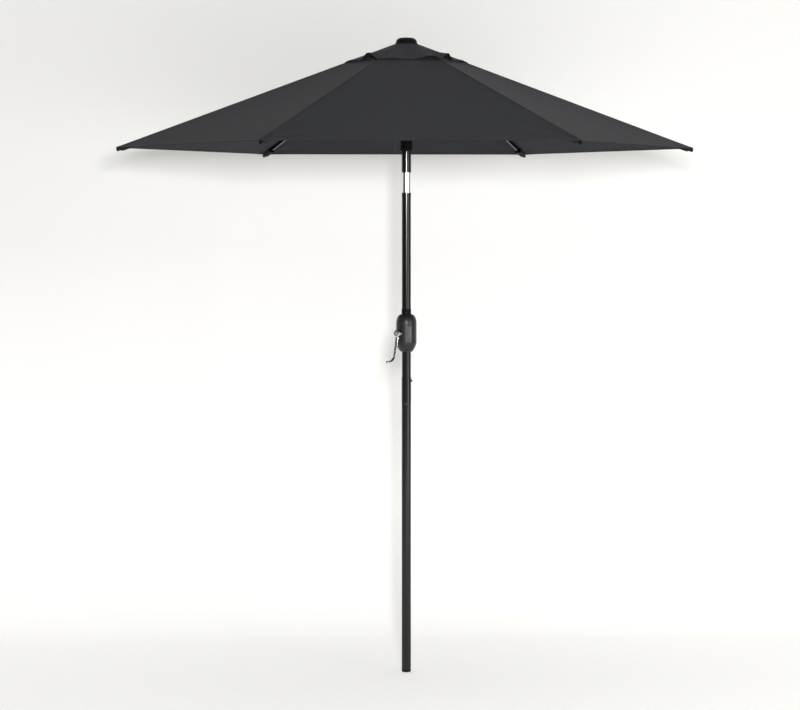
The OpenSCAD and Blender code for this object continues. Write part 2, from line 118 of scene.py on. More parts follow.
class Paint:
    # one material, with its Principled shader and a way to add any node
    def __init__(self, name, **fixed):
        self.material = bpy.data.materials.new(name)
        self.material.use_nodes = True
        self.tree = self.material.node_tree
        self.tree.nodes.clear()
        self.shader = self.tree.nodes.new("ShaderNodeBsdfPrincipled")
        self.out = self.tree.nodes.new("ShaderNodeOutputMaterial")
        self.tree.links.new(self.shader.outputs[0], self.out.inputs[0])
        for socket, value in fixed.items():
            self.set(socket, value)

    def plug(self, socket, item):
        value = item.value if isinstance(item, Sock) else item
        if isinstance(value, bpy.types.NodeSocket):
            self.tree.links.new(value, socket)
        else:
            socket.default_value = value

    def set(self, socket, item):
        names = {"colour": "Base Color", "rough": "Roughness", "metal": "Metallic", "coat": "Coat Weight",
                 "coatRough": "Coat Roughness", "sheen": "Sheen Weight", "sheenRough": "Sheen Roughness",
                 "specular": "Specular IOR Level", "normal": "Normal"}
        self.plug(self.shader.inputs[names[socket]], item)

    def node(self, kind, settings=None, inputs=None, output=0):
        node = self.tree.nodes.new("ShaderNode" + kind)
        for key, value in (settings or {}).items():
            if key == "stops":
                while len(node.color_ramp.elements) < len(value):
                    node.color_ramp.elements.new(0.5)
                for element, (place, shade) in zip(node.color_ramp.elements, value):
                    element.position = place
                    element.color = (shade, shade, shade, 1.0)
            else:
                setattr(node, key, value)
        for key, value in (inputs or {}).items():
            self.plug(node.inputs[key], value)
        return Sock(self, node.outputs[output])

    def place(self):
        return self.node("TexCoord", output="Object")

    def split(self, vector):
        # the three parts of a vector
        node = self.tree.nodes.new("ShaderNodeSeparateXYZ")
        self.plug(node.inputs[0], vector)
        return [Sock(self, out) for out in node.outputs]

    def cloth(self):
        # the cloth's own map, and its places across and along the rib in metres
        uv = self.node("UVMap", {"uv_map": "cloth"})
        return (uv, *self.split(uv)[:2])

    def grain(self, scale, detail=4.0, rough=0.55):
        inputs = {"Vector": self.place(), "Scale": scale, "Detail": detail, "Roughness": rough}
        return self.node("TexNoise", None, inputs)

    def streaks(self, vector, scale, detail, rough=0.5):
        # noise drawn out along the axis with the smallest scale
        drawn = self.node("Mapping", None, {"Vector": vector, "Scale": scale})
        inputs = {"Vector": drawn, "Scale": 1.0, "Detail": detail, "Roughness": rough}
        return self.node("TexNoise", None, inputs)

    def mix(self, factor, a, b):
        node = self.tree.nodes.new("ShaderNodeMix")
        node.data_type = "RGBA"
        self.plug(node.inputs[0], factor)
        for at, item in ((6, a), (7, b)):
            self.plug(node.inputs[at], (*item, 1.0) if isinstance(item, tuple) else item)
        return Sock(self, node.outputs[2])

    def ramp(self, item, *stops):
        return self.node("ValToRGB", {"stops": stops}, {"Fac": item})

    def bump(self, height, distance, strength=1.0):
        inputs = {"Height": height, "Distance": distance, "Strength": strength}
        self.set("normal", self.node("Bump", None, inputs))

    def clearBehind(self):
        # a sheet that is seen only from its front
        behind = self.node("NewGeometry", output="Backfacing")
        front = Sock(self, self.shader.outputs[0])
        both = self.node("MixShader", None, {0: behind, 1: front, 2: self.node("BsdfTransparent")})
        self.plug(self.out.inputs[0], both)


def clothFinish(name, dark, light, weave=0.0011):
    # woven polyester: threads from the piece's own UV map, in metres across and along the rib
    p = Paint(name, sheen=0.03, sheenRough=0.5, specular=0.05)
    uv, across, along = p.cloth()
    turn = 2 * math.pi / weave
    warp = (across * turn).sin()
    weft = (along * turn).sin()
    threads = warp * weft * 0.5 + 0.5
    broad = p.grain(2.2, 3.0, 0.6)
    slub = p.streaks(uv, (900, 60, 1), 2.0)
    fade = broad * 0.55 + slub * 0.25 + threads * 0.2
    p.set("colour", p.mix(p.ramp(fade, (0.3, 0.0), (0.72, 1.0)), dark, light))
    p.set("rough", 0.78 + broad * 0.12)
    p.bump(threads * 0.35 + slub * 0.65, 0.00035, 0.55)
    return p.material


def seamFinish(name, dark, light, thread):
    # the rib seam: cloth with two rows of lock stitch beside the fold, and a dark stripe along the ridge
    # that is painted shade
    p = Paint(name, sheen=0.03, sheenRough=0.5, specular=0.05)
    uv, across, along = p.cloth()
    threads = (across * 5700).sin() * (along * 5700).sin() * 0.5 + 0.5
    broad = p.grain(2.2, 3.0, 0.6)
    # painted shade: the narrow strip over the ridge is darkened towards the thread colour, standing in for
    # the shaded far side of the ridge
    welt = across.abs() < 0.0021
    rowA = ((across.abs() - 0.0052).abs() < 0.00055)
    dash = ((along / 0.0042).fract() < 0.68)
    stitch = rowA * dash
    fade = broad * 0.75 + threads * 0.25
    cloth = p.mix(p.ramp(fade, (0.3, 0.0), (0.72, 1.0)), dark, light)
    # the stitches and the painted ridge shade both take the dark thread colour here
    p.set("colour", p.mix(stitch.maths("MAXIMUM", welt * 0.8), cloth, thread))
    p.set("rough", 0.78 + broad * 0.12 - stitch * 0.2)
    pucker = (along * 1496).sin() * (across.abs() < 0.012) * 0.3
    p.bump(threads * 0.25 + stitch * 1.4 + pucker, 0.0005, 0.6)
    return p.material


def bindingFinish():
    # ribbed black edge tape
    p = Paint("edgeBinding", specular=0.2)
    uv, across, along = p.cloth()
    ribsOfTape = (across * 3300).sin() * 0.5 + 0.5
    broad = p.grain(14.0, 3.0)
    p.set("colour", p.mix(ribsOfTape * 0.5 + broad * 0.5, (0.004, 0.004, 0.005), (0.014, 0.014, 0.016)))
    p.set("rough", 0.7 + broad * 0.15)
    p.bump(ribsOfTape, 0.0003, 0.7)
    return p.material


def powderCoat():
    # smooth black paint on steel tube, with faint orange peel and rub marks along the tube
    p = Paint("powderCoat", specular=0.4)
    broad = p.grain(6.0, 3.0, 0.6)
    peel = p.grain(620.0, 2.0, 0.5)
    rub = p.streaks(p.place(), (90, 90, 5), 5.0, 0.7)
    scuff = p.ramp(rub, (0.62, 0.0), (0.8, 1.0))
    p.set("colour", p.mix(broad * 0.6 + scuff * 0.4, (0.0026, 0.0026, 0.003), (0.006, 0.006, 0.0065)))
    p.set("rough", 0.13 + broad * 0.05 + scuff * 0.1)
    p.bump(peel * 0.7 + rub * 0.3, 0.00012, 0.3)
    return p.material


def mouldedPlastic(name, low, high, rough=0.38, grainScale=900.0, depth=0.0001, coat=0.1, specular=0.45):
    # moulded plastic with a fine spark grain and a little dust
    p = Paint(name, coat=coat, coatRough=0.2, specular=specular)
    broad = p.grain(9.0, 3.0, 0.6)
    fine = p.grain(grainScale, 3.0, 0.6)
    dust = p.ramp(p.grain(38.0, 6.0, 0.7), (0.58, 0.0), (0.85, 1.0))
    p.set("colour", p.mix(broad * 0.5 + dust * 0.5, low, high))
    p.set("rough", rough + broad * 0.08 + dust * 0.1)
    p.bump(fine, depth, 0.5)
    return p.material


def platedSteel(name, colour, rough, brushed=0.0):
    # plated metal, with haze and, where it is brushed, fine lines upwards
    p = Paint(name, metal=1.0)
    haze = p.grain(26.0, 5.0, 0.65)
    lines = p.streaks(p.place(), (900, 900, 30), 3.0)
    dim = tuple(c * 0.82 for c in colour)
    p.set("colour", p.mix(haze, colour, dim))
    p.set("rough", rough + haze * 0.08 + lines * brushed)
    p.bump(lines * brushed + haze * 0.3, 0.00005, 0.3)
    return p.material


def braidFinish():
    # braided cord: two sets of strands that cross
    p = Paint("cordBraid", sheen=0.1, specular=0.2)
    side, _, height = p.split(p.place())
    strands = ((height * 3000 + side * 2400).sin() + (height * 3000 - side * 2400).sin()) * 0.25 + 0.5
    p.set("colour", p.mix(strands, (0.006, 0.006, 0.007), (0.024, 0.024, 0.027)))
    p.set("rough", 0.75 + strands * 0.1)
    p.bump(strands, 0.0003, 0.8)
    return p.material


cloth = {
    "front": (0.0215, 0.0225, 0.0262),
    "lift": (0.0275, 0.0285, 0.0325),
    "thread": (0.007, 0.007, 0.008),
}
canopyCloth = clothFinish("canopyCloth", cloth["front"], cloth["lift"])
seamCloth = seamFinish("seamCloth", cloth["front"], cloth["lift"], cloth["thread"])
edgeBinding = bindingFinish()
blackCoat = powderCoat()
blackPlastic = mouldedPlastic("mouldedBlack", (0.002, 0.002, 0.0023), (0.005, 0.005, 0.0055), 0.5,
                              coat=0.0, specular=0.1)
housingPlastic = mouldedPlastic("housingGrey", (0.012, 0.012, 0.0125), (0.021, 0.021, 0.022), 0.36,
                                1400.0, 0.00016, specular=0.3)
# the raised panel's lighter grey is painted highlight: the bright band the light leaves on the case's front
panelHighlightPlastic = mouldedPlastic("panelGreyPaintedHighlight", (0.04, 0.04, 0.041), (0.06, 0.06, 0.062), 0.36, 1400.0)
bushPlastic = mouldedPlastic("bushWhite", (0.62, 0.6, 0.55), (0.74, 0.72, 0.67), 0.4)
chrome = platedSteel("chromePlate", (0.86, 0.86, 0.87), 0.05)
zinc = platedSteel("zincPlate", (0.55, 0.55, 0.57), 0.28, 0.12)
springSteel = platedSteel("springSteel", (0.32, 0.32, 0.34), 0.32, 0.15)
cordBraid = braidFinish()
say("finishes mixed")

finishOf = {
    blackCoat: ["lower_pole", "mid_pole", "head_tube", "tilt_collar", "snap_button", "tilt_rivets"]
    + [f"{part}_{k}" for part in ("rib", "rib_bracket", "strut") for k in ribs],
    blackPlastic: ["foot_cap", "cord_spool", "tilt_button", "top_hub", "cord_pulley", "runner", "finial"]
    + [f"rib_tip_{k}" for k in ribs],
    housingPlastic: ["crank_housing_front", "crank_housing_back"],
    bushPlastic: ["shaft_bushes"],
    chrome: ["tilt_tube", "crank_shaft", "crank_arm", "crank_knob"],
    zinc: ["housing_screws", "hub_pins", "pulley_axle", "runner_pins", "finial_screw", "crank_screw"],
    springSteel: ["snap_spring", "brake_spring", "tilt_spring"],
    cordBraid: ["cord_winding", "lift_cord_lower", "lift_cord_upper", "lift_cord_outer"],
}
for finish, names in finishOf.items():
    for name in names:
        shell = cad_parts[name]
        shell.data.materials.clear()
        shell.data.materials.append(finish)


def sharpen(bm, limit):
    # edges that turn by more than the limit, in degrees, stay crisp under smooth shading
    for e in bm.edges:
        if len(e.link_faces) != 2 or e.calc_face_angle(0) > math.radians(limit):
            e.smooth = False


def finishPiece(name, bm, body, materials, replaced=()):
    mesh = bpy.data.meshes.new(name)
    bm.to_mesh(mesh)
    bm.free()
    for material in materials:
        mesh.materials.append(material)
    for face in mesh.polygons:
        face.use_smooth = True
    piece = bpy.data.objects.new(name, mesh)
    bpy.context.scene.collection.objects.link(piece)
    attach(piece, body)
    if replaced:
        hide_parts(*replaced)
    return piece


canopy = {
    "slope": math.radians(20.3),
    "ventR": 0.120,
    "skin": 0.9 * mm,         # cloth thickness
    "under": 1.2 * mm,        # depth of the cloth's upper face below the CAD ridge line
    "strip": 18.4 * mm,       # half width of the strip that stays on its rib when folding
    "keep": 0.094,            # share of a half panel's width left when the ribs are closed
    "sag": 10 * mm,
    "rimBow": 8 * mm,         # how far the hem curves inwards between two ribs
    "ridge": 7 * mm,          # half width of the rounded fold over a rib
    "hem": 15 * mm,
    "hemThick": 1.3 * mm,
    "hemProud": 0.8 * mm,     # how far the folded hem reaches past the cloth's edge
    "hemSquare": 0.35,        # 1 gives an oval hem, 0 a square one
}
tipR = nodeBox("canopy")[1].x
apexZ = nodeBox("canopy")[1].z + canopy["ventR"] * math.tan(canopy["slope"])
apex = Vector((0, 0, apexZ))
halfGore = math.asin(0.5 * math.cos(canopy["slope"]))       # angle between a rib and the middle of its panel
ribLength = tipR / math.cos(canopy["slope"])


def ribTurn(k):
    return math.radians(60 * (k - 1))


def ribSide(k):
    # level direction to the left of rib k, seen from the pole
    return Vector((-math.sin(ribTurn(k)), math.cos(ribTurn(k)), 0))


def ribFrame(k, side):
    # directions for the panel on one side of rib k: along the rib, away from it in the panel, and up
    outward = Vector((math.cos(canopy["slope"]), 0, -math.sin(canopy["slope"])))
    along = Matrix.Rotation(ribTurn(k), 3, "Z") @ outward
    nextRib = Matrix.Rotation(ribTurn(k + side), 3, "Z") @ outward
    middle = (along + nextRib).normalized()
    away = (middle - along * middle.dot(along)).normalized()
    up = along.cross(away) if side > 0 else away.cross(along)
    return along, away, up if up.z > 0 else -up


def toPanel(s, w):
    # rib coordinates (along, away) to panel coordinates (down the middle, away from the middle)
    return (s * math.cos(halfGore) + w * math.sin(halfGore),
            s * math.sin(halfGore) - w * math.cos(halfGore))


def toRib(a, b):
    return (a * math.cos(halfGore) + b * math.sin(halfGore),
            a * math.sin(halfGore) - b * math.cos(halfGore))


rimA = ribLength * math.cos(halfGore)
rimB = ribLength * math.sin(halfGore)


def rimAt(b, spec):
    return spec["rimA"] - spec["rimBow"] * (1 - min(1.0, (b / spec["rimB"]) ** 2))


def wrinkle(s, w, spec):
    # faint pulls that fan out from the rib tip
    tipS = spec["rimA"] / math.cos(halfGore)
    far = math.hypot(tipS - s, w)
    fan = math.atan2(w, max(1e-4, tipS - s))
    return math.sin(13 * fan) * min(1.0, far / 0.08) * math.exp(-far / 0.22) * spec["pull"]


def sagAt(s, w, spec):
    # the cloth hangs between its ribs, most of all in the outer half of the panel
    a, b = toPanel(s, w)
    edge = a * math.tan(halfGore)
    beta = min(1.0, abs(b) / max(edge, 1e-6))
    run = (a - spec["topA"]) / (spec["rimA"] - spec["topA"])
    run = min(1.0, max(0.0, run))
    hang = math.sin(math.pi * (0.12 + 0.80 * run)) * (1 - beta ** 2)
    return -spec["sag"] * hang * (0.35 + 0.65 * run)


def fold(w, spec):
    # the cloth goes over the rib in a small round, not a crease
    r = spec["ridge"]
    return w * w / (2 * r) if w < r else w - r / 2


def surface(k, s, w, spec, lift=0.0):
    # a point of the cloth at s along rib k and w to its left (positive) or right (negative)
    side = 1 if w >= 0 else -1
    along, away, up = ribFrame(k, side)
    flatAway = Vector((away.x, away.y, 0))
    level = flatAway - along * flatAway.dot(Vector((along.x, along.y, 0)))
    sideways = ribSide(k) * side
    lateral = away.dot(sideways)
    rest = away - sideways * lateral
    size = abs(w)
    point = apex + along * s + sideways * (lateral * size) + rest * fold(size, spec)
    height = sagAt(s, size, spec) + wrinkle(s, size, spec) + spec["raise"](k, side, s, size)
    return point + up * (height - spec["under"] + lift)


def rimS(w, spec):
    # where the hem crosses the line at w beside the rib
    s = spec["rimA"] / math.cos(halfGore)
    for _ in range(12):
        a, b = toPanel(s, w)
        s += (rimAt(b, spec) - a) / math.cos(halfGore)
    return s


def topS(w, spec):
    # where the cloth's upper edge crosses that line
    return (spec["topA"] - w * math.sin(halfGore)) / math.cos(halfGore)


def gridPatch(bm, nu, nv, place, material, uvLayer, uvOf):
    # a grid whose corners (u, v) in 0..1 are moved to their place
    before = set(bm.verts)
    made = bmesh.ops.create_grid(bm, x_segments=nu, y_segments=nv, size=0.5)
    verts = made["verts"]
    uv = {v: (v.co.x + 0.5, v.co.y + 0.5) for v in verts}
    faces = {f for v in verts for f in v.link_faces}
    for v in verts:
        v.co = place(*uv[v])
    for f in faces:
        f.material_index = material
        for loop in f.loops:
            loop[uvLayer].uv = uvOf(*uv[loop.vert])
    return list(faces)


def panelPoint(u, v, spec):
    # from the strip's edge (u = 0) to the middle of the panel (u = 1), from the top (v = 0) to the hem
    w0 = spec["strip"]
    s0 = topS(w0, spec) + v * (rimS(w0, spec) - topS(w0, spec))
    a0, b0 = toPanel(s0, w0)
    aMid = spec["topA"] + v * (rimAt(0.0, spec) - spec["topA"])
    a = a0 + u * (aMid - a0)
    b = b0 * (1 - u)
    bRim = toPanel(rimS(w0, spec), w0)[1]
    straight = rimAt(bRim, spec) + u * (rimAt(0.0, spec) - rimAt(bRim, spec))
    a += (rimAt(bRim * (1 - u), spec) - straight) * v ** 3
    return toRib(a, b)


def stripPoint(u, v, spec):
    # across the rib's strip (u) and from the top to the hem (v)
    w = (2 * u - 1) * spec["strip"]
    s = topS(abs(w), spec) + v * (rimS(abs(w), spec) - topS(abs(w), spec))
    return s, w


def squared(value, power):
    # bends a round towards a square, keeping its sign
    return math.copysign(abs(value) ** power, value)


def tapeLoop(t, spec):
    # section of the binding: a flat loop wrapped over the cloth's edge, inwards and up from the edge
    turn = t * 2 * math.pi
    inward = (0.5 - 0.5 * squared(math.cos(turn), spec["hemSquare"])) * spec["hem"]
    upward = squared(math.sin(turn), spec["hemSquare"]) * spec["hemThick"]
    return inward - spec["hemProud"], upward


def clothPiece(name, k, side, spec):
    # the strip over rib k (side 0) or the half panel on one side of it, with its share of the hem
    bm = bmesh.new()
    layer = bm.loops.layers.uv.new("cloth")
    if side == 0:
        nu, point = spec["stripCells"], stripPoint
    else:
        nu, point = spec["panelCells"], panelPoint
    sign = side or 1

    def place(u, v, lift=0.0):
        s, w = point(u, v, spec)
        return surface(k, s, w * sign, spec, lift)

    def uvOf(u, v):
        s, w = point(u, v, spec)
        return (w * sign, s)

    faces = gridPatch(bm, nu, spec["longCells"], place, 0, layer, uvOf)
    bmesh.ops.recalc_face_normals(bm, faces=faces)
    bm.normal_update()
    if sum(f.normal.z for f in faces) < 0:
        bmesh.ops.reverse_faces(bm, faces=faces)
    flatArea = sum(f.calc_area() for f in faces)
    bmesh.ops.solidify(bm, geom=faces, thickness=spec["skin"])

    def tape(u, t):
        inward, upward = tapeLoop(t, spec)
        edge = place(u, 1.0)
        back = place(u, 0.985)
        inside = (back - edge).normalized()
        up = Vector((0, 0, 1))
        return edge + inside * inward + up * (upward - spec["skin"] * 0.5)

    tapeFaces = gridPatch(bm, nu, spec["tapeCells"], tape, 1, layer,
                          lambda u, t: (point(u, 1.0, spec)[1] * sign, t * 0.024))
    bmesh.ops.remove_doubles(bm, verts=list({v for f in tapeFaces for v in f.verts}), dist=1e-6)
    tapeFaces = [f for f in bm.faces if f.material_index == 1]
    bmesh.ops.recalc_face_normals(bm, faces=tapeFaces)
    bm.normal_update()
    for f in tapeFaces:
        if f.normal.z > -0.2:
            f.material_index = 0        # the hem is turned under: cloth outside, tape inside
    sharpen(bm, 40)
    finish = seamCloth if side == 0 else canopyCloth
    return finishPiece(name, bm, f"rib_{k}", (finish, edgeBinding)), flatArea


def layCloth(label, spec, node):
    # the whole cover or flap, laid piece by piece
    for k in ribs:
        for side, word in ((0, "Seam"), (1, "Left"), (-1, "Right")):
            piece, area = clothPiece(f"{label}{word}{k}", k, side, spec)
            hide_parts(node)
            if side:
                away = ribFrame(k, side)[1]
                tuple(away)
                tuple(apex + away * spec["strip"])
                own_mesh(piece)
                width = toRib(spec["rimA"], 0)[1] - spec["strip"]
            else:
                width = 2 * spec["strip"]
            long = rimS(spec["strip"], spec) - topS(spec["strip"], spec)
            min(area, width * long)


def seamRidge(k, side, s, w):
    # the felled seam stands up beside the fold, with a corded welt on the ridge
    seam = 0.9 * mm * (1 - (w / 0.0075) ** 6) if w < 0.0075 else 0.0
    welt = 1.3 * mm * math.sqrt(1 - (w / 0.0024) ** 2) if w < 0.0024 else 0.0
    return seam + welt


def downPanel(radius):
    # from the apex down the middle of a panel, to the edge that meets the ribs at this radius
    return radius / math.cos(canopy["slope"]) * math.cos(halfGore)


cover = dict(canopy, topA=downPanel(canopy["ventR"]), rimA=rimA, rimB=rimB,
             panelCells=34, stripCells=18, longCells=76, tapeCells=16, pull=1.3 * mm)
cover["raise"] = seamRidge
layCloth("cover", cover, "canopy")
say("cover sewn")


flapR = nodeBox("vent_flap")[1].x
ventFlap = dict(canopy, topA=downPanel(0.040), rimBow=9 * mm, sag=2 * mm,
                hem=8 * mm, hemThick=1.1 * mm, keep=0.12, panelCells=22, stripCells=12, longCells=26,
                tapeCells=12, pull=0.0, lift=3.4 * mm, droop=3 * mm, gapeWidth=0.4)
ventFlap["rimA"] = downPanel(flapR)
ventFlap["rimB"] = flapR / math.cos(canopy["slope"]) * math.sin(halfGore)
# how high the loose edge stands off beside a rib, on its left (1) or right (-1),
# and where it is highest: 0 in the middle of the panel, 1 at the rib
ventFlap["gape"] = {(5, -1): (30 * mm, 0.44), (6, 1): (28 * mm, 0.52), (6, -1): (17 * mm, 0.8),
                    (2, 1): (18 * mm, 0.5), (3, -1): (13 * mm, 0.6), (1, 1): (15 * mm, 0.55),
                    (4, -1): (12 * mm, 0.6)}


def flapWave(k, side, s, w):
    # the loose edge lifts beside the ribs and droops in the middle of the panel
    spec = ventFlap
    a, b = toPanel(s, w)
    run = max(0.0, (a - spec["topA"]) / (spec["rimA"] - spec["topA"]))
    beta = min(1.0, abs(b) / max(a * math.tan(halfGore), 1e-6))
    gape = -(1 - beta ** 2) * spec["droop"]
    for rib, edge, place in ((k, side, beta), ((k - 1 + side) % 6 + 1, -side, -beta)):
        high, centre = spec["gape"].get((rib, edge), (5 * mm, 0.62))
        gape += high * math.exp(-((place - centre) / spec["gapeWidth"]) ** 2) * (1 - beta ** 8)
    return spec["lift"] + run ** 2 * gape


ventFlap["raise"] = flapWave
layCloth("flap", ventFlap, "vent_flap")
say("vent flap sewn")


pocket = {"long": 62, "wide": (13.5, 9.5), "deep": (19.0, 17.5), "end": 8.0, "skin": 0.9}


def tipPocket(k):
    # the pouch that holds the cover on the rib's end: a round-bottomed sleeve, closed at the tip
    spec = pocket
    along = ribFrame(k, 1)[0]
    side = ribSide(k)
    down = side.cross(along)
    bm = bmesh.new()
    layer = bm.loops.layers.uv.new("cloth")

    def place(u, v):
        x = 2 * u - 1
        shut = math.sqrt(max(0.0, 1 - max(0.0, (v - 0.72) / 0.28) ** 2))
        wide = spec["wide"][0] + (spec["wide"][1] - spec["wide"][0]) * v
        deep = spec["deep"][0] + (spec["deep"][1] - spec["deep"][0]) * v
        drop = deep * (1 - abs(x) ** 3.2) ** (1 / 3.2) * (0.25 + 0.75 * shut)
        s = ribLength / mm - spec["end"] - spec["long"] * (1 - v)
        return apex + (along * s + side * (x * wide * (0.6 + 0.4 * shut)) + down * (2.4 + drop)) * mm

    faces = gridPatch(bm, 22, 24, place, 0, layer, lambda u, v: ((u - 0.5) * 0.05, v * 0.06))
    bmesh.ops.recalc_face_normals(bm, faces=faces)
    bm.normal_update()
    if sum(f.normal.z for f in faces) > 0:
        bmesh.ops.reverse_faces(bm, faces=faces)
    bmesh.ops.solidify(bm, geom=faces, thickness=spec["skin"] * mm)
    sharpen(bm, 45)
    finishPiece(f"tipPocket{k}", bm, f"rib_{k}", (edgeBinding,))


for k in ribs:
    tipPocket(k)
say("tip pockets sewn")


def lathe(points, steps=64):
    # a bmesh turned round Z from (radius, height) points
    bm = bmesh.new()
    verts = [bm.verts.new((r * mm, 0, h * mm)) for r, h in points]
    edges = [bm.edges.new(pair) for pair in zip(verts, verts[1:])]
    bmesh.ops.spin(bm, geom=verts + edges, cent=(0, 0, 0), axis=(0, 0, 1), angle=2 * math.pi, steps=steps,
                   use_merge=True, use_duplicate=False)
    bmesh.ops.remove_doubles(bm, verts=bm.verts, dist=0.004 * mm)
    bmesh.ops.recalc_face_normals(bm, faces=bm.faces)
    return bm


def arc(cr, ch, radius, start, end, steps=6):
    # points of a round in a lathe profile, angles in degrees from the radius towards the height
    turns = [math.radians(start + (end - start) * i / steps) for i in range(steps + 1)]
    return [(cr + radius * math.cos(a), ch + radius * math.sin(a)) for a in turns]


def joinMesh(bm, other, matrix=None):
    # adds another bmesh to this one
    mesh = bpy.data.meshes.new("part")
    if matrix:
        other.transform(matrix)
    other.to_mesh(mesh)
    other.free()
    bm.from_mesh(mesh)
    bpy.data.meshes.remove(mesh)


def roundBox(size, radius, segments=3):
    # a block with rounded edges, centred on the origin
    bm = bmesh.new()
    bmesh.ops.create_cube(bm, size=1.0)
    bmesh.ops.scale(bm, verts=bm.verts, vec=[v * mm for v in size])
    bmesh.ops.bevel(bm, geom=bm.edges[:], offset=radius * mm, segments=segments, profile=0.5, affect="EDGES",
                    material=-1)
    return bm


def finishSolid(name, bm, body, material, replaced=(), limit=38):
    bmesh.ops.recalc_face_normals(bm, faces=bm.faces)
    sharpen(bm, limit)
    return finishPiece(name, bm, body, (material,), replaced=replaced)


crank = {
    "z": nodeBox("crank_housing_front")[0].z / 2 + nodeBox("crank_housing_front")[1].z / 2,
    "turn": math.radians(225),
    "poleR": 17.0,
}


def onShaft(out=0.0, up=0.0):
    # +Z of a piece along the crank shaft, out from the pole's axis
    turn = Matrix.Rotation(crank["turn"], 4, "Z") @ Matrix.Rotation(math.pi / 2, 4, "Y")
    return Matrix.Translation((0, 0, crank["z"] + up * mm)) @ turn @ Matrix.Translation((0, 0, out * mm))


housing = {
    "radius": 38, "half": 70, "topShoulder": 33, "footShoulder": 36, "endR": 19.6, "footSlant": 1.4,
    "wall": 2.4, "seam": 0.45, "poleR": crank["poleR"] + 0.15,
    "bossR": 17, "bossFace": 39, "recessR": 13, "recessFloor": 34, "boreR": 8.0,
    "panelWide": 17, "panelHigh": 62, "panelThick": 5.4, "panelFace": 38.4, "panelTurn": 60,
    "panelDrop": -2, "barUp": 26,
}


def housingOutline():
    # an elliptical shoulder above, a straighter taper below
    spec = housing
    turns = [math.radians(a) for a in range(0, 91, 6)]
    bulge = spec["radius"] - spec["endR"]

    def shoulder(tall, power):
        return [(spec["endR"] + bulge * math.cos(a) ** power,
                 spec["half"] - tall + tall * math.sin(a) ** power) for a in turns]

    upper = shoulder(spec["topShoulder"], 1.0) + [(spec["poleR"], spec["half"])]
    lower = [(r, -h) for r, h in reversed(shoulder(spec["footShoulder"], spec["footSlant"])
                                          + [(spec["poleR"], spec["half"])])]
    straight = spec["half"] - spec["footShoulder"]
    side = [(spec["radius"], straight * i / 9) for i in range(-8, 9)]
    return lower + side + upper


def housingShell(name, node, facing):
    # half of the drive's case: turned barrel with round shoulders, open where the shaft passes
    spec = housing
    bm = bmesh.new()
    verts = [bm.verts.new((0, -r * mm, h * mm)) for r, h in housingOutline()]
    edges = [bm.edges.new(pair) for pair in zip(verts, verts[1:])]
    gap = spec["seam"] / spec["radius"]
    bmesh.ops.rotate(bm, verts=verts, cent=(0, 0, 0), matrix=Matrix.Rotation(gap, 3, "Z"))
    bmesh.ops.spin(bm, geom=verts + edges, cent=(0, 0, 0), axis=(0, 0, 1), angle=math.pi - 2 * gap, steps=60)
    if facing > 0:
        hidden = [f for f in bm.faces if math.hypot(f.calc_center_median().y, f.calc_center_median().z)
                  < (spec["bossR"] - 2.4) * mm and f.calc_center_median().x > 0]
        bmesh.ops.delete(bm, geom=hidden, context="FACES")
    bmesh.ops.recalc_face_normals(bm, faces=bm.faces)
    if sum(f.normal.x for f in bm.faces) < 0:
        bmesh.ops.reverse_faces(bm, faces=bm.faces)
    bmesh.ops.solidify(bm, geom=bm.faces[:], thickness=spec["wall"] * mm)
    if facing > 0:
        boss = lathe([(spec["boreR"], spec["recessFloor"]), (spec["recessR"] - 0.8, spec["recessFloor"])]
                     + arc(spec["recessR"] - 0.8, spec["recessFloor"] + 0.8, 0.8, -90, 0, 3)
                     + arc(spec["recessR"] + 0.7, spec["bossFace"] - 0.7, 0.7, 180, 90, 4)
                     + arc(spec["bossR"] - 1.4, spec["bossFace"] - 1.4, 1.4, 90, 0, 5)
                     + [(spec["bossR"], 32), (spec["boreR"], 32), (spec["boreR"], spec["recessFloor"])], 72)
        joinMesh(bm, boss, Matrix.Rotation(math.pi / 2, 4, "Y"))
    turn = crank["turn"] if facing > 0 else crank["turn"] + math.pi
    bm.transform(Matrix.Translation((0, 0, crank["z"])) @ Matrix.Rotation(turn, 4, "Z"))
    return finishSolid(name, bm, "pole", housingPlastic, (node,))


housingShell("housingShellFront", "crank_housing_front", 1)
housingShell("housingShellBack", "crank_housing_back", -1)


def housingPanel():
    # the raised plain plate beside the shaft, with a bar at each end; its lighter grey is painted highlight
    spec = housing

    def onCase(out, up):
        return (Matrix.Rotation(math.radians(spec["panelTurn"]), 4, "Z")
                @ Matrix.Translation((out * mm, 0, (spec["panelDrop"] + up) * mm))
                @ Matrix.Rotation(math.pi / 2, 4, "Z") @ Matrix.Rotation(math.pi / 2, 4, "X"))

    bm = roundBox((spec["panelWide"], spec["panelHigh"], spec["panelThick"]), 1.1, 4)
    bm.transform(onCase(spec["panelFace"] - spec["panelThick"] / 2, 0))
    for level in (-1, 1):
        bar = roundBox((spec["panelWide"] - 3, 2.4, 1.6), 0.7, 3)
        joinMesh(bm, bar, onCase(spec["panelFace"] + 0.3, spec["barUp"] * level))
    bm.transform(Matrix.Translation((0, 0, crank["z"])) @ Matrix.Rotation(crank["turn"], 4, "Z"))
    finishSolid("housingPanel", bm, "pole", panelHighlightPlastic)


housingPanel()

shaft = {"r": 5, "back": -36, "collarR": 8.5, "collarFrom": 34.6, "collarTo": 47, "end": 49}


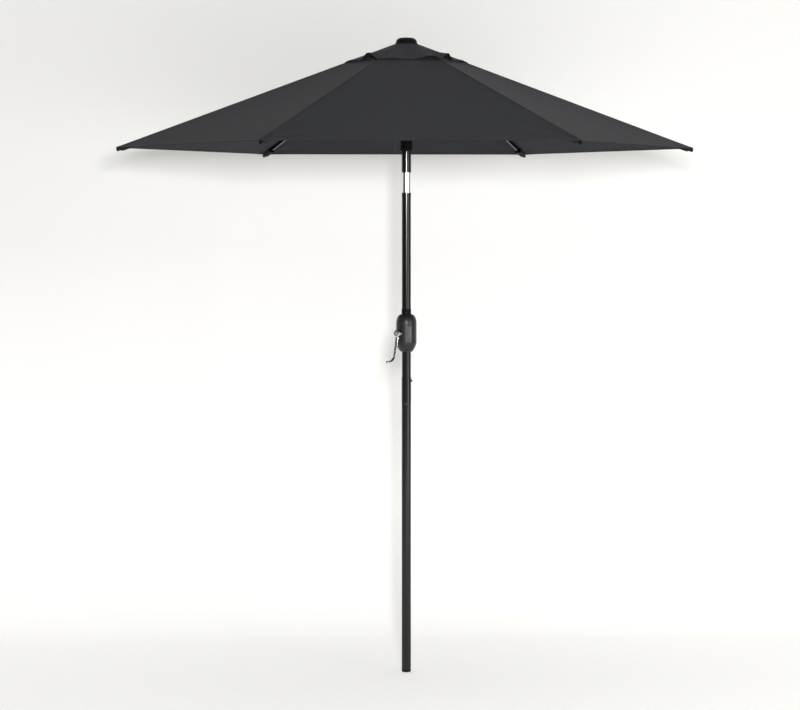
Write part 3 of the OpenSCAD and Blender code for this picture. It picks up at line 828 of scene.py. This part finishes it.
def crankShaft():
    # the shaft, with a grooved collar outside the case
    spec = shaft
    profile = ([(0, spec["back"]), (spec["r"] - 0.6, spec["back"]), (spec["r"], spec["back"] + 0.6),
                (spec["r"], spec["collarFrom"]), (spec["collarR"] - 0.9, spec["collarFrom"])]
               + arc(spec["collarR"] - 0.9, spec["collarFrom"] + 0.9, 0.9, -90, 0, 4)
               + [(spec["collarR"], 39.5), (spec["collarR"] - 0.8, 40.2), (spec["collarR"] - 0.8, 41.0),
                  (spec["collarR"], 41.7)]
               + arc(spec["collarR"] - 1.6, spec["collarTo"] - 1.6, 1.6, 0, 90, 6)
               + [(spec["r"], spec["collarTo"]), (spec["r"], spec["end"]), (0, spec["end"])])
    bm = lathe(profile, 56)
    bm.transform(onShaft())
    finishSolid("shaftCollar", bm, "crank", chrome, ("crank_shaft",))


crankShaft()

handle = {
    # the arm's middle line: out from the pole's axis, and down
    "line": [(52, 3), (53, -10), (54.4, -22), (58, -45), (63, -68), (66, -78), (69.4, -87), (75, -95.5),
             (82, -101.5), (91, -105)],
    "wide": (17, 11.5), "thick": 5.6, "discR": 14, "discFrom": 48.4, "discTo": 57,
    "knobZ": -105, "knobFrom": 94.2, "knobLong": 14.6,
}


def armSection(bm, wide, thick):
    # rounded rectangle of 20 points, as one face
    made = bmesh.ops.create_circle(bm, cap_ends=True, segments=20, radius=1.0)["verts"]
    for v in made:
        v.co = Vector((squared(v.co.x, 0.55) * wide / 2, squared(v.co.y, 0.55) * thick / 2, 0)) * mm
    return made


def crankHandle():
    # the bent arm, extruded along its line and narrowed on the way, with its hub and knob pin
    spec = handle
    line = spec["line"]
    ends = len(line) - 1
    first, last = spec["wide"]
    widths = [first + (last - first) * i / ends for i in range(ends + 1)]
    bm = bmesh.new()
    verts = armSection(bm, first, spec["thick"])
    face = verts[0].link_faces[0]

    def station(i):
        before, after = line[max(i - 1, 0)], line[min(i + 1, ends)]
        way = Vector((after[0] - before[0], 0, after[1] - before[1])).normalized()
        side = Vector((0, 1, 0))
        out = way.cross(side)
        place = Matrix((side, out, way)).transposed().to_4x4()
        place.translation = Vector((line[i][0], 0, line[i][1])) * mm
        return place

    bmesh.ops.transform(bm, verts=verts, matrix=station(0))
    for i in range(1, ends + 1):
        made = bmesh.ops.extrude_face_region(bm, geom=[face])
        bmesh.ops.delete(bm, geom=[face], context="FACES_ONLY")
        verts = [g for g in made["geom"] if isinstance(g, bmesh.types.BMVert)]
        face = [g for g in made["geom"] if isinstance(g, bmesh.types.BMFace)][0]
        narrow = Matrix.Diagonal((widths[i] / widths[i - 1], 1, 1, 1))
        bmesh.ops.transform(bm, verts=verts, matrix=station(i) @ narrow @ station(i - 1).inverted())
    disc = lathe([(0, spec["discFrom"]), (spec["discR"] - 1.2, spec["discFrom"])]
                 + arc(spec["discR"] - 1.2, spec["discFrom"] + 1.2, 1.2, -90, 0, 4)
                 + arc(spec["discR"] - 2.2, spec["discTo"] - 2.2, 2.2, 0, 90, 6)
                 + [(7.2, spec["discTo"]), (6.8, spec["discTo"] - 0.7), (0, spec["discTo"] - 0.7)], 56)
    joinMesh(bm, disc, Matrix.Rotation(math.pi / 2, 4, "Y"))
    boss = lathe([(0, 88.6)] + arc(5.0, 90, 1.4, -90, 0, 4) + arc(5.4, 92.7, 1.0, 0, 90, 4)
                 + [(2.5, 93.7), (2.5, 108.4), (2.1, 109), (0, 109)], 40)
    joinMesh(bm, boss, Matrix.Translation((0, 0, spec["knobZ"] * mm)) @ Matrix.Rotation(math.pi / 2, 4, "Y"))
    bm.transform(Matrix.Translation((0, 0, crank["z"])) @ Matrix.Rotation(crank["turn"], 4, "Z"))
    finishSolid("crankHandle", bm, "crank", chrome, ("crank_arm",), 50)


crankHandle()


def handKnob():
    # hollow waisted grip that turns on the arm's pin
    start, long = handle["knobFrom"], handle["knobLong"]
    bm = lathe([(2.6, 0.0), (4.0, 0.0)] + arc(4.0, 1.4, 1.4, -90, 0, 4)
               + [(5.0, 3.2), (4.6, 5.0), (4.6, 8.6), (5.1, 10.4)]
               + arc(3.6, long - 1.9, 1.9, 0, 90, 6)
               + [(0, long), (0, long - 1.2), (2.6, long - 1.2), (2.6, 0.0)], 44)
    bm.transform(onShaft(start, handle["knobZ"]))
    finishSolid("handKnob", bm, "crank_knob", chrome, ("crank_knob",))


handKnob()
say("crank drive built")

poleTrim = {"seam": nodeBox("lower_pole")[1].z, "sleeve": 21}


def poleTrims():
    # rolled lip of the lower pole's swelled end, matt sleeve above the drive's case, foot cap
    low, high = nodeBox("lower_pole")
    bellR = (high.x - low.x) / 2 / mm
    top = poleTrim["seam"] / mm
    bm = lathe([(bellR - 0.9, top - 3.2), (bellR + 0.02, top - 3.2)]
               + arc(bellR - 0.15, top - 1.6, 0.62, -80, 80, 8)
               + [(bellR - 0.5, top), (bellR - 0.9, top - 0.3), (bellR - 0.9, top - 3.2)], 72)
    finishSolid("poleLip", bm, "pole", blackCoat)
    start = crank["z"] / mm + housing["half"] - 1.0
    end = start + poleTrim["sleeve"]
    r = crank["poleR"]
    bm = lathe([(r + 0.05, start), (r + 0.8, start), (r + 0.75, end - 0.8), (r + 0.4, end), (r + 0.05, end),
                (r + 0.05, start)], 72)
    finishSolid("caseSleeve", bm, "pole", blackPlastic)
    bm = lathe([(0, 0.8), (9.0, 0.8), (9.6, 0.0), (13.3, 0.0)] + arc(13.3, 4.0, 4.0, -90, 0, 8)
               + [(17.3, 6.2), (16.9, 6.6), (16.9, 7.2), (17.3, 7.6), (17.3, 8.0), (0, 8.0)], 72)
    finishSolid("footPad", bm, "pole", blackPlastic, ("foot_cap",))


poleTrims()


def finialKnob():
    # domed cap with a lip at its foot and a shallow dish on top
    low, high = nodeBox("finial")
    bottom, top, wide = low.z / mm, high.z / mm, high.x / mm
    tall = top - bottom
    bm = lathe([(0, bottom + 0.5), (wide - 1.2, bottom)] + arc(wide - 1.2, bottom + 1.2, 1.2, -90, 20, 5)
               + [(wide - 1.0, bottom + 2.6), (wide - 2.4, bottom + 3.4)]
               + arc(wide - 20.4, bottom + tall - 19.4, 18.0, 8, 84, 12)
               + [(17.0, top - 0.7), (15.6, top - 1.3), (13.0, top - 1.3), (11.6, top - 0.3), (0, top)], 72)
    finishSolid("finialCap", bm, "head", blackPlastic, ("finial",))


finialKnob()

slider = {"r": 23, "sleeveTop": nodeBox("runner")[1].z / mm - 18, "bottom": nodeBox("runner")[0].z / mm}


def runnerTrims():
    # grip rings round the runner's sleeve
    spec = slider
    bands = []
    for at, tall, proud in ((3.5, 5.0, 1.6), (spec["sleeveTop"] - spec["bottom"] - 7.5, 5.5, 1.8)):
        z = spec["bottom"] + at
        bands.append(lathe([(spec["r"] - 0.6, z)] + arc(spec["r"] + proud - 1.0, z + 1.2, 1.0, -80, 0, 3)
                           + arc(spec["r"] + proud - 1.0, z + tall - 1.2, 1.0, 0, 80, 3)
                           + [(spec["r"] - 0.6, z + tall), (spec["r"] - 0.6, z)], 72))
    grooves = int((spec["sleeveTop"] - spec["bottom"] - 26) / 3.2)
    for i in range(grooves):
        z = spec["bottom"] + 14 + i * 3.2
        bands.append(lathe([(spec["r"] - 0.5, z)] + arc(spec["r"] + 0.1, z + 0.8, 0.7, -70, 70, 4)
                           + [(spec["r"] - 0.5, z + 1.6), (spec["r"] - 0.5, z)], 72))
    bm = bands.pop()
    for band in bands:
        joinMesh(bm, band)
    finishSolid("runnerGrip", bm, "runner", blackPlastic)


runnerTrims()
say("pole and runner trimmed")

stage = {
    "paper": (0.765, 0.76, 0.745),
    "floorGlow": 0.34,
    "wallGlow": 0.07,
    "fade": 1.6,          # height over which the glow falls off
    "wallY": 1.18,
    "curve": 0.5,
    "wide": 16.0,
    "high": 9.0,
    "front": -11.0,
}


def backdrop():
    # one sheet: floor, a quarter round and the wall behind
    bm = bmesh.new()
    start = bm.verts.new((-stage["wide"], stage["front"], 0))
    end = bm.verts.new((stage["wide"], stage["front"], 0))
    edge = bm.edges.new((start, end))
    flat = bmesh.ops.extrude_edge_only(bm, edges=[edge])
    verts = [g for g in flat["geom"] if isinstance(g, bmesh.types.BMVert)]
    bmesh.ops.translate(bm, verts=verts, vec=(0, stage["wallY"] - stage["curve"] - stage["front"], 0))
    rim = [e for e in bm.edges if all(v in verts for v in e.verts)]
    centre = (0, stage["wallY"] - stage["curve"], stage["curve"])
    spun = bmesh.ops.spin(bm, geom=rim + verts, cent=centre, axis=(1, 0, 0), angle=math.pi / 2, steps=24)
    last = [g for g in spun["geom_last"] if isinstance(g, bmesh.types.BMEdge)]
    top = bmesh.ops.extrude_edge_only(bm, edges=last)
    verts = [g for g in top["geom"] if isinstance(g, bmesh.types.BMVert)]
    bmesh.ops.translate(bm, verts=verts, vec=(0, 0, stage["high"]))
    bmesh.ops.recalc_face_normals(bm, faces=bm.faces)
    bm.normal_update()
    if sum(f.normal.z for f in bm.faces) < 0:
        bmesh.ops.reverse_faces(bm, faces=bm.faces)
    mesh = bpy.data.meshes.new("backdrop")
    bm.to_mesh(mesh)
    bm.free()
    paper = Paint("studioPaper", rough=0.95, specular=0.05)
    tone = paper.grain(0.6, 2.0)
    paper.set("colour", paper.mix(tone, stage["paper"], tuple(c * 0.985 for c in stage["paper"])))
    height = paper.split(paper.place())[2]
    share = (height / stage["fade"]).clamp()
    glow = [tuple(c * stage[part] for c in (1.0, 0.995, 0.975)) for part in ("floorGlow", "wallGlow")]
    paper.plug(paper.shader.inputs["Emission Color"], paper.mix(share, *glow))
    paper.shader.inputs["Emission Strength"].default_value = 1.0
    paper.clearBehind()
    mesh.materials.append(paper.material)
    for face in mesh.polygons:
        face.use_smooth = True
    piece = bpy.data.objects.new("backdrop", mesh)
    bpy.context.scene.collection.objects.link(piece)


def areaLight(name, place, aim, size, power):
    lamp = bpy.data.lights.new(name, "AREA")
    lamp.shape = "RECTANGLE"
    lamp.size, lamp.size_y = size
    lamp.energy = power
    holder = bpy.data.objects.new(name, lamp)
    holder.location = place
    holder.rotation_euler = (Vector(aim) - Vector(place)).to_track_quat("-Z", "Y").to_euler()
    holder.visible_camera = False
    bpy.context.scene.collection.objects.link(holder)


lights = {
    # where it stands, what it faces, its width and height, watts
    "key": ((-0.15, -7.6, 2.15), (0, 0, 1.5), (0.45, 0.45), 390),
    "strip": ((3.2, -3.5, 1.4), (0, 0, 1.4), (1.7, 2.6), 75),
    "sky": ((0, -0.3, 6.6), (0, 0, 0.5), (7, 5), 90),
}


air = {"light": 0.15, "seen": 0.9}


def lightStage():
    for name, (place, aim, size, power) in lights.items():
        areaLight(name, place, aim, size, power)
    world = bpy.data.worlds.new("studioAir")
    world.use_nodes = True
    back = world.node_tree.nodes["Background"]
    back.inputs[0].default_value = (1.0, 1.0, 1.0, 1)
    tree = world.node_tree
    path = tree.nodes.new("ShaderNodeLightPath")
    level = tree.nodes.new("ShaderNodeMapRange")        # pale behind the object, dim as a light
    level.inputs["To Min"].default_value = air["light"]
    level.inputs["To Max"].default_value = air["seen"]
    tree.links.new(path.outputs["Is Camera Ray"], level.inputs["Value"])
    tree.links.new(level.outputs[0], back.inputs[1])
    bpy.context.scene.world = world
    bpy.context.scene.view_settings.view_transform = "Standard"


camera = {
    "place": (-0.475, -9.0, 1.714),
    "yaw": -2.87,
    "pitch": -3.31,
    "lens": 108.8,
}


def setCamera():
    data = bpy.data.cameras.new("camera")
    data.lens = camera["lens"]
    data.sensor_width = 36
    data.clip_end = 60
    holder = bpy.data.objects.new("camera", data)
    holder.location = camera["place"]
    holder.rotation_euler = (math.radians(90 + camera["pitch"]), 0, math.radians(camera["yaw"]))
    bpy.context.scene.collection.objects.link(holder)
    bpy.context.scene.camera = holder


backdrop()
lightStage()
setCamera()
say("stage set")
